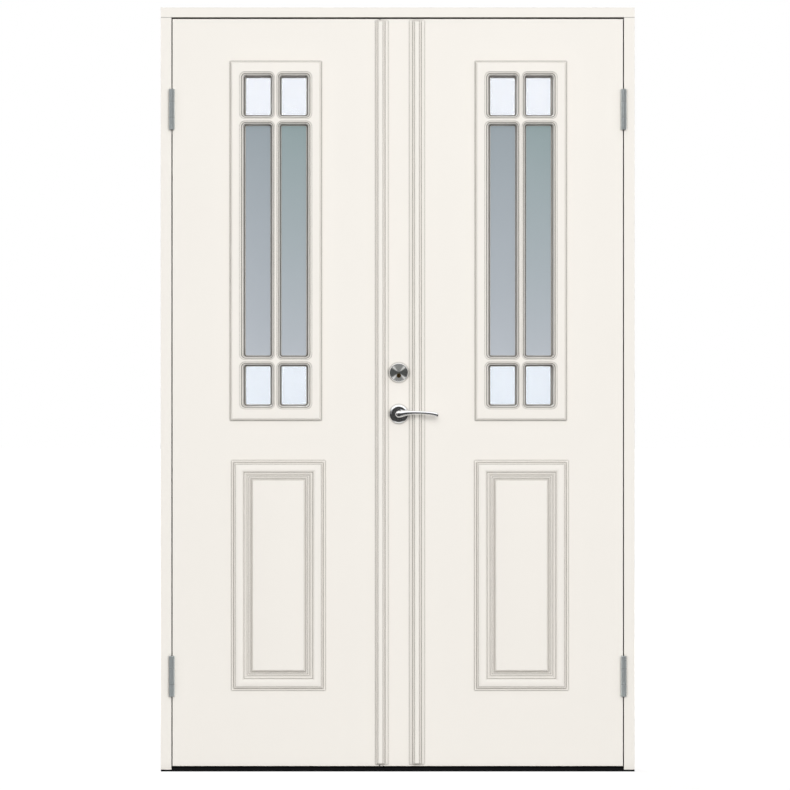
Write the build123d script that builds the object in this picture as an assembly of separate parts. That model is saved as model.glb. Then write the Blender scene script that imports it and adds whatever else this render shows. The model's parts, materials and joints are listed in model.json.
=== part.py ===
from build123d import *
import os
from dataclasses import dataclass

# A double exterior door in its frame, closed. Millimetres, +Z up.
# X runs across the door set and is 0 at its middle. +Y points indoors and is 0 at half the
# frame's depth. Z is 0 under the sill. The right leaf is the active one, with the lock.

# Frame
frame_width = 1290.0
frame_height = 2080.0
frame_depth = 105.0
jamb_face = 29.0  # what shows of a jamb beside its leaf
head_face = 27.0  # what shows of the head above the leaves
stop_step = 15.0  # how far the stop stands in from the rebate
base_strip_height = 5.0
threshold_lip_height = 5.0
threshold_setback = 2.0  # how far the threshold's lip stands back from the frame's face

# Leaves
leaf_thickness = 62.0
skin_thickness = 4.0
side_gap = 3.0
top_gap = 4.5
under_gap = 10.0  # under a leaf, down to the base strip
meeting_gap = 3.0
meeting_line_x = -48.5  # the middle of the gap between the leaves
meeting_bevel = 3.2  # how far the active leaf's edge leans back through its thickness
stop_gap = 4.0  # between a leaf's inner face and the stop
hinge_stile_width = 60.0
lock_stile_width = 110.0
rail_height = 90.0

# Gaskets
gasket_width = 8.0
gasket_clearance = 0.3
gasket_root_width = 2.6
gasket_root_depth = 5.0
gasket_chamfer = 1.5
gasket_setback = 1.0  # between the stop's edge and the gasket

# Hinges
barrel_radius = 8.0
barrel_standoff = 1.0  # between the barrel and the leaf's face
hinge_height = 110.0
middle_knuckle = 43.0
knuckle_gap = 0.5
knuckle_round = 0.8
pin_radius = 4.0
running_clearance = 0.05
hinge_plate_thickness = 2.5
hinge_plate_depth = 36.0
hinge_from_bottom = 245.0  # from a leaf's bottom edge to the middle of its lower hinge
hinge_from_top = 246.5

# Glazing
cassette_width = 251.0
cassette_height = 980.0
cassette_from_top = 114.0  # from a leaf's top edge to the cassette
cassette_stand = 12.0  # how far the cassette stands out of the skin
cassette_bevel = 7.0
cassette_side_margin = 26.0
cassette_end_margin = 27.5
cassette_overlap = 11.0  # how far the cassette covers the skin round its opening
muntin_face = 4.0
light_height = 130.0  # the small lights, at the face
light_corner = 16.0
glass_corner = 3.5
bar_reveal = 13.0  # slope from a bar's face to the glass
edge_reveal = 17.5  # slope from the cassette's margin to the glass
glass_depth = 15.0  # from the leaf's face to the outer pane
pane_thickness = 4.0
pane_gap = 16.0
pane_clearance = 0.5
spacer_width = 8.0
unit_gap = 4.0

# Lower panel
panel_width = 258.0
panel_from_bottom = 205.0  # from a leaf's bottom edge to the panel's moulding
panel_to_cassette = 106.5
panel_valley = 6.0
field_stand = 9.0
field_fillet_height = 4.0
field_fillet_width = 2.7
field_slope_width = 8.5

# Mouldings and cover strips
moulding_height = 10.0
moulding_fillet_height = 4.0
moulding_fillet_width = 3.5
moulding_ogee_width = 9.5
moulding_flat = 17.0
ogee_sag = 0.7
strip_fillet_width = 6.3
strip_flat = 11.7
strip_overlap = 11.9  # how far the cover strip laps over the passive leaf
strip_end_gap = 3.5
strip_end_bevel = 8.0
strip_back_clearance = 0.4
second_strip_x = 52.4
meeting_gasket_depth = 49.0  # from the leaf's face to the gasket in the meeting edge
meeting_gasket_stand = 4.4

# Lock and handles
backset = 50.0
spindle_z = 973.0
cylinder_rise = 105.0
dead_bolt_rise = 68.0
latch_rise = 28.0
lock_case_thickness = 15.0
lock_case_wall = 1.5
lock_case_depth = 80.0
lock_case_below = 36.0
lock_case_above = 30.0
forend_width = 22.0
forend_thickness = 3.0
forend_height = 235.0
forend_proud = 0.7
strike_width = 24.0
strike_height = 190.0
strike_thickness = 3.0
strike_clearance = 1.0
strike_pocket_depth = 22.0
latch_thickness = 11.0
latch_height = 20.0
latch_throw = 12.0
latch_length = 40.0
latch_nose = 2.0  # how wide the latch's tip stays
latch_slope_gap = 1.0  # between the forend and the start of the latch's slope
dead_bolt_thickness = 10.0
dead_bolt_height = 34.0
dead_bolt_length = 52.0
bolt_clearance = 0.4
spindle_side = 8.0
rose_radius = 26.0
rose_height = 9.0
rose_round = 3.0
rose_bore_clearance = 0.4
neck_radius = 9.5
lever_reach = 108.0
lever_standout = 50.0
spindle_standout = 30.0  # how far the spindle reaches out of each face
neck_round = 5.0
tip_round = 3.0
ring_radius = 27.0
ring_height = 11.0
ring_round = 1.5
ring_bore = 22.5
ring_clearance = 0.1
ring_taper = 2.0
cylinder_face_recess = 2.0
plug_radius = 6.2
plug_drop = 8.0  # the plug's axis under the middle of the ring
cylinder_body_radius = 16.0
plug_length = 36.0
keyway_width = 1.8
keyway_height = 8.0
keyway_depth = 25.0
keyway_rise = 0.8  # the keyway's middle above the plug's axis
turn_stem_radius = 5.0
thumbturn_length = 38.0
thumbturn_thickness = 8.0
thumbturn_standout = 24.0
thumbturn_gap = 2.0  # between its rose and its grip
thumbturn_round = 1.5

# Bolts of the passive leaf
flush_rod_radius = 5.0
flush_rod_length = 240.0
flush_rod_inset = 14.0
flush_rod_recess = 1.0
flush_plate_width = 20.0
flush_plate_height = 150.0
flush_plate_thickness = 2.0
flush_slot_width = 8.6
flush_travel = 18.0
thumb_tab_height = 14.0
thumb_tab_thickness = 7.0
thumb_tab_from_end = 20.0
thumb_tab_recess = 0.5
rod_chamfer = 1.2
rod_clearance = 0.3
keeper_radius = 5.6
keeper_plate_width = 24.0
keeper_plate_length = 50.0
keeper_plate_thickness = 2.0

# Fasteners
screw_radius = 2.25
screw_head_radius = 4.5
screw_head_depth = 2.25
screw_length = 24.0
screw_clearance = 0.05
fixing_bore_radius = 5.5
fixing_sleeve_radius = 8.0
edge_screw_from_end = 12.0  # in the forend and the strike
fixing_count = 4
fixing_from_bottom = 400.0
fixing_from_top = 390.0

# How far a cutting or joined body runs past the surface that it crosses
overrun = 1.0
# How near to a plane an edge counts as lying on it
on_plane = 0.01

# Planes and lines that many pieces share
front_y = -frame_depth / 2
inner_y = front_y + frame_depth
leaf_back_y = front_y + leaf_thickness
stop_y = leaf_back_y + stop_gap
middle_y = front_y + leaf_thickness / 2
jamb_rebate_x = frame_width / 2 - jamb_face
jamb_stop_x = jamb_rebate_x - stop_step
head_rebate_z = frame_height - head_face
head_stop_z = head_rebate_z - stop_step
leaf_top_z = head_rebate_z - top_gap
leaf_bottom_z = base_strip_height + under_gap
threshold_stop_z = leaf_bottom_z + stop_step
hinge_x = jamb_rebate_x - side_gap / 2
hinge_y = front_y - barrel_standoff - barrel_radius
glass_y = front_y + glass_depth
inner_pane_y = glass_y + pane_thickness + pane_gap
glass_back_y = inner_pane_y + pane_thickness
hinge_heights = (leaf_bottom_z + hinge_from_bottom, leaf_top_z - hinge_from_top)
cassette_middle_z = leaf_top_z - cassette_from_top - cassette_height / 2
panel_low_z = leaf_bottom_z + panel_from_bottom
panel_high_z = cassette_middle_z - cassette_height / 2 - panel_to_cassette
panel_height = panel_high_z - panel_low_z
panel_middle_z = (panel_low_z + panel_high_z) / 2
fixing_pitch = (frame_height - fixing_from_top - fixing_from_bottom) / (fixing_count - 1)
gasket_reach = jamb_stop_x + gasket_width + gasket_setback
gasket_low_z = threshold_stop_z - gasket_width - gasket_setback
gasket_high_z = head_stop_z + gasket_width + gasket_setback
moulding_width = 2 * (moulding_fillet_width + moulding_ogee_width) + moulding_flat
strip_width = 2 * (strip_fillet_width + moulding_ogee_width) + strip_flat
glass_opening_width = cassette_width - 2 * cassette_overlap
glass_opening_height = cassette_height - 2 * cassette_overlap
face_width = cassette_width - 2 * cassette_side_margin
face_height = cassette_height - 2 * cassette_end_margin
light_width = (face_width - muntin_face) / 2


@dataclass(frozen=True)
class Leaf:
    """One leaf: side is 1 at the right and -1 at the left, and the edges are at the outer face.

    The glazing and the panel are placed across the door from the middle of the leaf.
    """

    name: str
    side: int
    meet_x: float
    bevel: float
    glazing_off_middle: float
    panel_off_middle: float

    @property
    def edge_x(self):
        return self.side * (jamb_rebate_x - side_gap)

    @property
    def middle_x(self):
        return (self.edge_x + self.meet_x) / 2

    @property
    def glazing_x(self):
        return self.middle_x + self.glazing_off_middle

    @property
    def panel_x(self):
        return self.middle_x + self.panel_off_middle


active = Leaf("active", 1, meeting_line_x + meeting_gap / 2, meeting_bevel, 52.0, 53.7)
passive = Leaf("passive", -1, meeting_line_x - meeting_gap / 2, 0.0, -0.5, 6.7)
leaves = (active, passive)

lock_x = active.meet_x + backset
cylinder_z = spindle_z + cylinder_rise
forend_x = active.meet_x + meeting_bevel / 2 + forend_proud


def block(x0, x1, y0, y1, z0, z1):
    """A box between two opposite corners, given in any order."""
    size = (abs(x1 - x0), abs(y1 - y0), abs(z1 - z0))
    return Pos((x0 + x1) / 2, (y0 + y1) / 2, (z0 + z1) / 2) * Box(*size)


def peg(start, direction, length, radius):
    """A cylinder that starts at a point and runs along a direction."""
    return extrude(Plane(origin=start, z_dir=direction) * Circle(radius), length)


def cone(start, direction, length, start_radius, end_radius):
    """A cut cone that starts at a point and runs along a direction."""
    plane = Plane(origin=start, z_dir=direction)
    return loft([plane * Circle(start_radius), plane.offset(length) * Circle(end_radius)])


def prism_z(points, z0, z1):
    """An outline in X and Y, raised from z0 to z1."""
    face = make_face(Polyline(*[(x, y, z0) for x, y in points], close=True))
    return extrude(face, z1 - z0, dir=(0, 0, 1))


def write(node, *solids):
    """Writes one named piece, or a group of like pieces, to its file."""
    os.makedirs("parts", exist_ok=True)
    shape = solids[0] if len(solids) == 1 else Compound(children=list(solids))
    export_step(shape, f"parts/{node}.step")


def edges_on(body, axis, place):
    """The edges of a body that lie in a plane across an axis."""
    return body.edges().filter_by_position(axis, place - on_plane, place + on_plane)


def fixing_heights():
    """The heights of the frame fixings in one jamb."""
    return [fixing_from_bottom + i * fixing_pitch for i in range(fixing_count)]


# Each screw in a hinge plate: share of the plate's depth, and of its height from the middle.
hinge_screw_shares = ((0.4, 0.4), (0.75, 0.18), (0.75, -0.18), (0.4, -0.4))


def hinge_screw_places():
    """Depth and height of each screw in one hinge plate, from the plate's middle."""
    return [
        (front_y + depth * hinge_plate_depth, height * hinge_height)
        for depth, height in hinge_screw_shares
    ]


def screw(place, direction, length=screw_length):
    """A countersunk screw: place is the middle of its flush head, direction is into the wood."""
    head = cone(place, direction, screw_head_depth, screw_head_radius, screw_radius)
    return head + peg(place, direction, length, screw_radius)


def screw_hole(place, direction, length=screw_length):
    """The hole that a screw needs, a running clearance larger all round."""
    grown = screw_clearance
    mouth = cone(place, direction, screw_head_depth, screw_head_radius + grown, screw_radius + grown)
    return mouth + peg(place, direction, length + grown, screw_radius + grown)


def gasket_ring(half_width, low_z, high_z, y0, y1, width):
    """A rectangular ring in the plane of the door, standing in from the given edges."""
    outer = block(-half_width, half_width, y0, y1, low_z, high_z)
    inner = block(-half_width + width, half_width - width, y0, y1, low_z + width, high_z - width)
    return outer - inner


def frame_gasket():
    """The seal on the stop: a root pressed into a groove, and the part that the leaves meet."""
    front = leaf_back_y + gasket_clearance
    bulb = gasket_ring(gasket_reach, gasket_low_z, gasket_high_z, front, stop_y, gasket_width)
    bulb = chamfer(edges_on(bulb, Axis.Y, front), gasket_chamfer)
    return bulb + gasket_root()


def gasket_root():
    """The root of the gasket, which fills a groove in the stop."""
    edge = (gasket_width - gasket_root_width) / 2
    return gasket_ring(gasket_reach - edge, gasket_low_z + edge, gasket_high_z - edge,
                       stop_y, stop_y + gasket_root_depth, gasket_root_width)


def jamb(side):
    """A rebated jamb, cut for its hinges, its fixings and the gasket."""
    outer_x = side * frame_width / 2
    body = block(side * jamb_rebate_x, outer_x, front_y, inner_y, base_strip_height, head_rebate_z)
    body += block(side * jamb_stop_x, outer_x, stop_y, inner_y, base_strip_height, head_rebate_z)
    body -= gasket_root()
    into = (side, 0, 0)
    for z in hinge_heights:
        body -= hinge_plate_pocket(side * jamb_rebate_x, side, z)
        for y, dz in hinge_screw_places():
            body -= screw_hole((side * jamb_rebate_x, y, z + dz), into)
    for z in fixing_heights():
        body -= peg((side * jamb_rebate_x, middle_y, z), into, jamb_face, fixing_sleeve_radius)
    return body


def fixing_sleeves():
    """Steel sleeves through the jambs, each with a bore for a frame screw."""
    sleeves = []
    for side in (-1, 1):
        for z in fixing_heights():
            start, way = (side * jamb_rebate_x, middle_y, z), (side, 0, 0)
            tube = peg(start, way, jamb_face, fixing_sleeve_radius)
            sleeves.append(tube - peg(start, way, jamb_face, fixing_bore_radius))
    return sleeves


def keeper_x():
    """The line of the passive leaf's two bolts."""
    return passive.meet_x - flush_rod_inset


def head():
    """The head, laid across the jambs, with a stop between them and the upper keeper's pocket."""
    half = frame_width / 2
    body = block(-half, half, front_y, inner_y, head_rebate_z, frame_height)
    body += block(-jamb_stop_x, jamb_stop_x, stop_y, inner_y, head_stop_z, head_rebate_z)
    body -= gasket_root()
    body -= keeper_plate(head_rebate_z, 1, hole=False)
    depth = flush_travel - top_gap + 2 * keeper_plate_thickness
    return body - peg((keeper_x(), middle_y, head_rebate_z), (0, 0, 1), depth, keeper_radius)


def keeper_plate(face_z, way, hole=True):
    """A plate set flush in the frame, with a hole for one of the passive leaf's bolts."""
    x, half = keeper_x(), keeper_plate_length / 2
    depth = keeper_plate_width / 2
    plate = block(x - half, x + half, middle_y - depth, middle_y + depth,
                  face_z, face_z + way * keeper_plate_thickness)
    if hole:
        plate -= peg((x, middle_y, face_z), (0, 0, way), keeper_plate_thickness, keeper_radius)
    return plate


def threshold():
    """The threshold: a low lip under the leaves and a stop behind them."""
    base, lip_top = base_strip_height, base_strip_height + threshold_lip_height
    lip_y = front_y + threshold_setback
    body = block(-jamb_rebate_x, jamb_rebate_x, lip_y, stop_y, base, lip_top)
    body += block(-jamb_stop_x, jamb_stop_x, stop_y, inner_y, base, threshold_stop_z)
    body -= gasket_root()
    body -= keeper_plate(lip_top, -1, hole=False)
    return body - peg((keeper_x(), middle_y, base), (0, 0, 1), threshold_lip_height, keeper_radius)


def base_strip():
    """The dark strip under the whole frame."""
    half = frame_width / 2
    strip = block(-half, half, front_y, inner_y, 0, base_strip_height)
    return strip - peg((keeper_x(), middle_y, 0), (0, 0, 1), base_strip_height, keeper_radius)


def keepers():
    """Both keeper plates, in the head and in the threshold's lip."""
    return [
        keeper_plate(head_rebate_z, 1),
        keeper_plate(base_strip_height + threshold_lip_height, -1),
    ]


def hinge_plate_pocket(face_x, into, z):
    """What a hinge plate takes out of the wood."""
    half = hinge_height / 2
    return block(face_x, face_x + into * hinge_plate_thickness,
                 front_y, front_y + hinge_plate_depth, z - half, z + half)


def knuckle(side, low, high):
    """One rounded knuckle of a barrel, bored for the pin."""
    x = side * hinge_x
    body = peg((x, hinge_y, low), (0, 0, 1), high - low, barrel_radius)
    body = fillet(body.edges().filter_by(GeomType.CIRCLE), knuckle_round)
    bore = pin_radius + running_clearance
    return body - peg((x, hinge_y, low), (0, 0, 1), high - low, bore)


def hinge_half(side, z, face_x, into, spans):
    """A hinge plate with its knuckles; spans are the knuckles' low and high ends from the middle."""
    plate = hinge_plate_pocket(face_x, into, z)
    for y, dz in hinge_screw_places():
        plate -= screw_hole((face_x, y, z + dz), (into, 0, 0))
    for low, high in spans:
        neck = block(face_x, face_x + into * hinge_plate_thickness,
                     hinge_y, front_y + overrun, z + low, z + high)
        bore = pin_radius + running_clearance
        neck -= peg((side * hinge_x, hinge_y, z + low), (0, 0, 1), high - low, bore)
        plate += knuckle(side, z + low, z + high) + neck
    return plate


def frame_hinge_spans():
    """The outer knuckles, which belong to the frame."""
    inner, outer = middle_knuckle / 2 + knuckle_gap, hinge_height / 2
    return [(-outer, -inner), (inner, outer)]


def leaf_hinge_spans():
    """The middle knuckle, which belongs to the leaf."""
    return [(-middle_knuckle / 2, middle_knuckle / 2)]


def frame_hinge_halves():
    """The four hinge halves on the jambs."""
    return [
        hinge_half(side, z, side * jamb_rebate_x, side, frame_hinge_spans())
        for side in (-1, 1) for z in hinge_heights
    ]


def hinge_pins():
    """The four pins, held in the frame's knuckles."""
    half = hinge_height / 2 - knuckle_gap
    return [
        peg((side * hinge_x, hinge_y, z - half), (0, 0, 1), 2 * half, pin_radius)
        for side in (-1, 1) for z in hinge_heights
    ]


def hinge_screws(face_x, into):
    """The screws of the two hinge plates on one jamb or one leaf."""
    return [
        screw((face_x, y, z + dz), (into, 0, 0))
        for z in hinge_heights for y, dz in hinge_screw_places()
    ]


def meet_at(leaf, y):
    """Where a leaf's meeting edge is at a depth: the active leaf's leans back."""
    return leaf.meet_x + leaf.bevel * (y - front_y) / leaf_thickness


def opening(leaf, y0, y1, trim=0.0):
    """The hole in a leaf that the glazing fills, or a body that stands in it by a trim."""
    half_x, half_z = glass_opening_width / 2 - trim, glass_opening_height / 2 - trim
    x, z = leaf.glazing_x, cassette_middle_z
    return block(x - half_x, x + half_x, y0, y1, z - half_z, z + half_z)


def cut_for_hinges(piece, leaf):
    """Cuts a leaf's hinge plates and their screws out of a piece."""
    into = -leaf.side
    for z in hinge_heights:
        piece -= hinge_plate_pocket(leaf.edge_x, into, z)
        for y, dz in hinge_screw_places():
            piece -= screw_hole((leaf.edge_x, y, z + dz), (into, 0, 0))
    return piece


def lock_bores(radius_at_spindle, radius_at_cylinder, y0, y1):
    """Two bores through the active leaf, for the spindle and the cylinder."""
    way, depth = (0, 1, 0), y1 - y0
    spindle_bore = peg((lock_x, y0, spindle_z), way, depth, radius_at_spindle)
    return spindle_bore + peg((lock_x, y0, cylinder_z), way, depth, radius_at_cylinder)


def skin(leaf, y0, y1):
    """A flat skin over the whole leaf, with the hole for the glazing."""
    outline = [
        (leaf.edge_x, y0), (meet_at(leaf, y0), y0),
        (meet_at(leaf, y1), y1), (leaf.edge_x, y1),
    ]
    sheet = prism_z(outline, leaf_bottom_z, leaf_top_z) - opening(leaf, y0, y1)
    sheet = cut_for_hinges(sheet, leaf)
    if leaf is active:
        sheet -= lock_bores(neck_radius, cylinder_body_radius, y0, y1)
    return sheet


def core_y():
    """The depth between a leaf's two skins."""
    return front_y + skin_thickness, leaf_back_y - skin_thickness


def hinge_stile(leaf):
    """The timber at the hinges."""
    y0, y1 = core_y()
    inner_x = leaf.edge_x - leaf.side * hinge_stile_width
    return cut_for_hinges(block(leaf.edge_x, inner_x, y0, y1, leaf_bottom_z, leaf_top_z), leaf)


def meeting_stile_x(leaf):
    """The inner edge of the timber beside the meeting gap."""
    return leaf.meet_x + leaf.side * lock_stile_width


def meeting_stile(leaf):
    """The timber at the meeting edge, before what each leaf cuts into it."""
    y0, y1 = core_y()
    inner_x = meeting_stile_x(leaf)
    outline = [(inner_x, y0), (meet_at(leaf, y0), y0), (meet_at(leaf, y1), y1), (inner_x, y1)]
    return prism_z(outline, leaf_bottom_z, leaf_top_z)


def rails(leaf):
    """The two rails between the stiles."""
    y0, y1 = core_y()
    x0, x1 = leaf.edge_x - leaf.side * hinge_stile_width, meeting_stile_x(leaf)
    return [
        block(x0, x1, y0, y1, leaf_bottom_z, leaf_bottom_z + rail_height),
        block(x0, x1, y0, y1, leaf_top_z - rail_height, leaf_top_z),
    ]


def core(leaf):
    """The insulation between stiles and rails, round the glazing."""
    y0, y1 = core_y()
    x0, x1 = leaf.edge_x - leaf.side * hinge_stile_width, meeting_stile_x(leaf)
    body = block(x0, x1, y0, y1, leaf_bottom_z + rail_height, leaf_top_z - rail_height)
    return body - opening(leaf, y0, y1)


def lights(leaf):
    """Each light at the face, as its edges and how far its slopes reach in at the glass."""
    left, right = leaf.glazing_x - face_width / 2, leaf.glazing_x + face_width / 2
    low, high = cassette_middle_z - face_height / 2, cassette_middle_z + face_height / 2
    columns = [
        (left, left + light_width, edge_reveal, bar_reveal),
        (right - light_width, right, bar_reveal, edge_reveal),
    ]
    step = light_height + muntin_face
    rows = [
        (low, low + light_height, edge_reveal, bar_reveal),
        (low + step, high - step, bar_reveal, bar_reveal),
        (high - light_height, high, bar_reveal, edge_reveal),
    ]
    return [(column, row) for row in rows for column in columns]


# Each step of the slope from a light's face to the glass: share of the depth, share of the reach.
reveal_steps = ((0.0, 0.0), (0.13, 0.27), (0.17, 0.34), (0.45, 0.66), (1.0, 1.0))


def light_cutter(column, row, face_y, glass_side_y):
    """The stepped funnel that one light makes through a cassette."""
    x0, x1, left, right = column
    z0, z1, bottom, top = row

    def section(depth, reach):
        width = x1 - x0 - reach * (left + right)
        height = z1 - z0 - reach * (bottom + top)
        middle_x = (x0 + x1 + reach * (left - right)) / 2
        middle_z = (z0 + z1 + reach * (bottom - top)) / 2
        y = face_y + depth * (glass_side_y - face_y)
        corner = light_corner + reach * (glass_corner - light_corner)
        plane = Plane(origin=(middle_x, y, middle_z), x_dir=(1, 0, 0), z_dir=(0, -1, 0))
        return plane * RectangleRounded(width, height, corner)

    return loft([section(depth, reach) for depth, reach in reveal_steps], ruled=True)


def cassette(leaf, skin_y, out, glass_side_y):
    """A moulded glazing frame on one skin: out is the way it stands, -1 outdoors and 1 indoors."""
    face_y = skin_y + out * cassette_stand
    x, z = leaf.glazing_x, cassette_middle_z
    body = block(x - cassette_width / 2, x + cassette_width / 2, skin_y, face_y,
                 z - cassette_height / 2, z + cassette_height / 2)
    body = chamfer(edges_on(body, Axis.Y, face_y), cassette_bevel)
    body += opening(leaf, skin_y, glass_side_y, pane_clearance)
    for column, row in lights(leaf):
        body -= light_cutter(column, row, face_y, glass_side_y)
    return body


def glass_units(leaf):
    """The low and high edge of each sealed unit, from the bottom one up."""
    low = cassette_middle_z - glass_opening_height / 2 + pane_clearance
    high = cassette_middle_z + glass_opening_height / 2 - pane_clearance
    bar = cassette_end_margin - cassette_overlap + light_height + muntin_face / 2 - pane_clearance
    return [
        (low, low + bar - unit_gap / 2),
        (low + bar + unit_gap / 2, high - bar - unit_gap / 2),
        (high - bar + unit_gap / 2, high),
    ]


def pane_box(leaf, unit, y0, y1, trim=0.0):
    """A sheet or bar as large as a sealed unit, less a trim all round."""
    half = glass_opening_width / 2 - pane_clearance - trim
    low, high = unit
    return block(leaf.glazing_x - half, leaf.glazing_x + half, y0, y1, low + trim, high - trim)


def panes(leaf, units):
    """The outer and inner pane of each of the given units."""
    return [
        pane_box(leaf, unit, y, y + pane_thickness)
        for unit in units for y in (glass_y, inner_pane_y)
    ]


def spacers(leaf):
    """The bar round each unit that holds its two panes apart."""
    y0, y1 = glass_y + pane_thickness, inner_pane_y
    return [
        pane_box(leaf, unit, y0, y1) - pane_box(leaf, unit, y0, y1, spacer_width)
        for unit in glass_units(leaf)
    ]


def moulding_section(plane, fillet_width, flat, first_fillet=True):
    """A raised moulding in section: x runs across it, y is how far it stands out."""
    foot, top = moulding_fillet_height, moulding_height
    half_height, half_ogee = (foot + top) / 2, moulding_ogee_width / 2
    start = fillet_width if first_fillet else 0.0
    rise, fall = start + moulding_ogee_width, start + moulding_ogee_width + flat
    end = fall + moulding_ogee_width
    width = end + fillet_width
    up = (start + half_ogee, half_height)
    down = (fall + half_ogee, half_height)
    foot_points = [(end, foot), (width, foot), (width, 0), (0, 0), (0, foot)]
    if first_fillet:
        foot_points.append((start, foot))
    edges = [
        SagittaArc((start, foot), up, -ogee_sag),
        SagittaArc(up, (rise, top), ogee_sag),
        Line((rise, top), (fall, top)),
        SagittaArc((fall, top), down, ogee_sag),
        SagittaArc(down, (end, foot), -ogee_sag),
        *Polyline(*foot_points).edges(),
    ]
    return plane * make_face(Wire(edges))


def panel_moulding(leaf):
    """The mitred moulding round the lower panel."""
    x, z = leaf.panel_x, panel_middle_z
    half_x, half_z = panel_width / 2, panel_height / 2
    start = (x, front_y, z - half_z)
    corners = [
        (x + half_x, front_y, z - half_z), (x + half_x, front_y, z + half_z),
        (x - half_x, front_y, z + half_z), (x - half_x, front_y, z - half_z),
    ]
    plane = Plane(origin=start, x_dir=(0, 0, 1), z_dir=(1, 0, 0))
    section = moulding_section(plane, moulding_fillet_width, moulding_flat)
    return sweep(section, Polyline(start, *corners, start), transition=Transition.RIGHT)


def panel_field(leaf):
    """The raised board inside the moulding, with a fillet and a sloped edge."""
    width = panel_width - 2 * (moulding_width + panel_valley)
    height = panel_height - 2 * (moulding_width + panel_valley)

    def outline(inset, stand):
        place = (leaf.panel_x, front_y - stand, panel_middle_z)
        plane = Plane(origin=place, x_dir=(1, 0, 0), z_dir=(0, -1, 0))
        return plane * Rectangle(width - 2 * inset, height - 2 * inset)

    foot = extrude(outline(0, 0), field_fillet_height)
    slope_end = field_fillet_width + field_slope_width
    slope = loft([outline(field_fillet_width, field_fillet_height), outline(slope_end, field_stand)])
    return foot + slope


def strip_end_cut(z, way):
    """A wedge that slopes one end of a strip back to the leaf; way is 1 at the top."""
    half = frame_width / 2
    near_y, far_y = front_y - moulding_fillet_height / 2, front_y - moulding_height - overrun
    slope = strip_end_bevel / (moulding_height - moulding_fillet_height / 2)
    points = [(far_y, z - way * slope * (near_y - far_y)), (near_y, z), (far_y, z)]
    face = make_face(Polyline(*[(-half, y, level) for y, level in points], close=True))
    return extrude(face, frame_width, dir=(1, 0, 0))


def cover_strip(x, first_fillet):
    """A moulded strip up the active leaf; x is its edge on the passive leaf's side."""
    low, high = leaf_bottom_z + strip_end_gap, leaf_top_z - strip_end_gap
    plane = Plane(origin=(x, front_y, high), x_dir=(1, 0, 0), z_dir=(0, 0, -1))
    section = moulding_section(plane, strip_fillet_width, strip_flat, first_fillet)
    strip = extrude(section, high - low)
    return strip - strip_end_cut(high, 1) - strip_end_cut(low, -1)


def meeting_cover_strip():
    """The strip over the meeting gap, a little clear of the passive leaf's face."""
    edge = passive.meet_x - strip_overlap
    relief = block(edge - overrun, passive.meet_x + overrun, front_y - strip_back_clearance, front_y,
                   leaf_bottom_z, leaf_top_z)
    return cover_strip(edge, first_fillet=False) - relief


def leaf_hinge_halves(leaf):
    """The two hinge halves on one leaf."""
    return [
        hinge_half(leaf.side, z, leaf.edge_x, -leaf.side, leaf_hinge_spans()) for z in hinge_heights
    ]


def lock_case_box(trim=0.0):
    """The outside of the lock case, grown by a trim."""
    half = lock_case_thickness / 2 + trim
    start = forend_x + forend_thickness
    return block(start, start + lock_case_depth + trim, middle_y - half, middle_y + half,
                 spindle_z - lock_case_below - trim, cylinder_z + lock_case_above + trim)


def forend_middle_z():
    """The middle height of the lock's forend."""
    return (spindle_z - lock_case_below + cylinder_z + lock_case_above) / 2


def forend_box(thickness=forend_thickness, back_x=forend_x + forend_thickness):
    """The outside of the forend, or a block of its outline in front of a place in the stile."""
    half, z = forend_width / 2, forend_middle_z()
    return block(back_x - thickness, back_x, middle_y - half, middle_y + half,
                 z - forend_height / 2, z + forend_height / 2)


def bolt_box(middle_z, height, thickness, x0, x1, trim=0.0):
    """A flat bolt, or the hole for it when grown by a trim."""
    half_y, half_z = thickness / 2 + trim, height / 2 + trim
    return block(x0, x1, middle_y - half_y, middle_y + half_y, middle_z - half_z, middle_z + half_z)


def latch_box(x0, x1, trim=0.0):
    """The latch bolt between two places across the door."""
    return bolt_box(spindle_z + latch_rise, latch_height, latch_thickness, x0, x1, trim)


def dead_bolt_box(x0, x1, trim=0.0):
    """The dead bolt between two places across the door."""
    return bolt_box(spindle_z + dead_bolt_rise, dead_bolt_height, dead_bolt_thickness, x0, x1, trim)


def active_lock_stile():
    """The active leaf's timber at the lock, with the mortise and the two bores."""
    body = meeting_stile(active) - lock_case_box(bolt_clearance)
    body -= forend_box(forend_x - active.meet_x + overrun, forend_x) + forend_box()
    for place in forend_screw_places():
        body -= screw_hole(place, (1, 0, 0))
    return body - lock_bores(neck_radius, cylinder_body_radius, *core_y())


def lock_case():
    """The lock case: a folded steel box, open where bolts, spindle and cylinder pass."""
    wall, half = lock_case_wall, lock_case_thickness / 2
    x0 = forend_x + forend_thickness
    low, high = spindle_z - lock_case_below, cylinder_z + lock_case_above
    body = lock_case_box() - block(
        x0 + wall, x0 + lock_case_depth - wall, middle_y - half + wall, middle_y + half - wall,
        low + wall, high - wall)
    body -= latch_box(x0, x0 + wall, bolt_clearance) + dead_bolt_box(x0, x0 + wall, bolt_clearance)
    return body - lock_bores(neck_radius, cylinder_body_radius, middle_y - half, middle_y + half)


def forend_screw_places():
    """The middle of each forend screw's head."""
    reach = forend_height / 2 - edge_screw_from_end
    return [(forend_x, middle_y, forend_middle_z() + way * reach) for way in (-1, 1)]


def forend():
    """The plate in the active leaf's edge that the bolts come out of."""
    plate = forend_box()
    x0, x1 = forend_x, forend_x + forend_thickness
    plate -= latch_box(x0, x1, bolt_clearance) + dead_bolt_box(x0, x1, bolt_clearance)
    for place in forend_screw_places():
        plate -= screw_hole(place, (1, 0, 0))
    return plate


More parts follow.
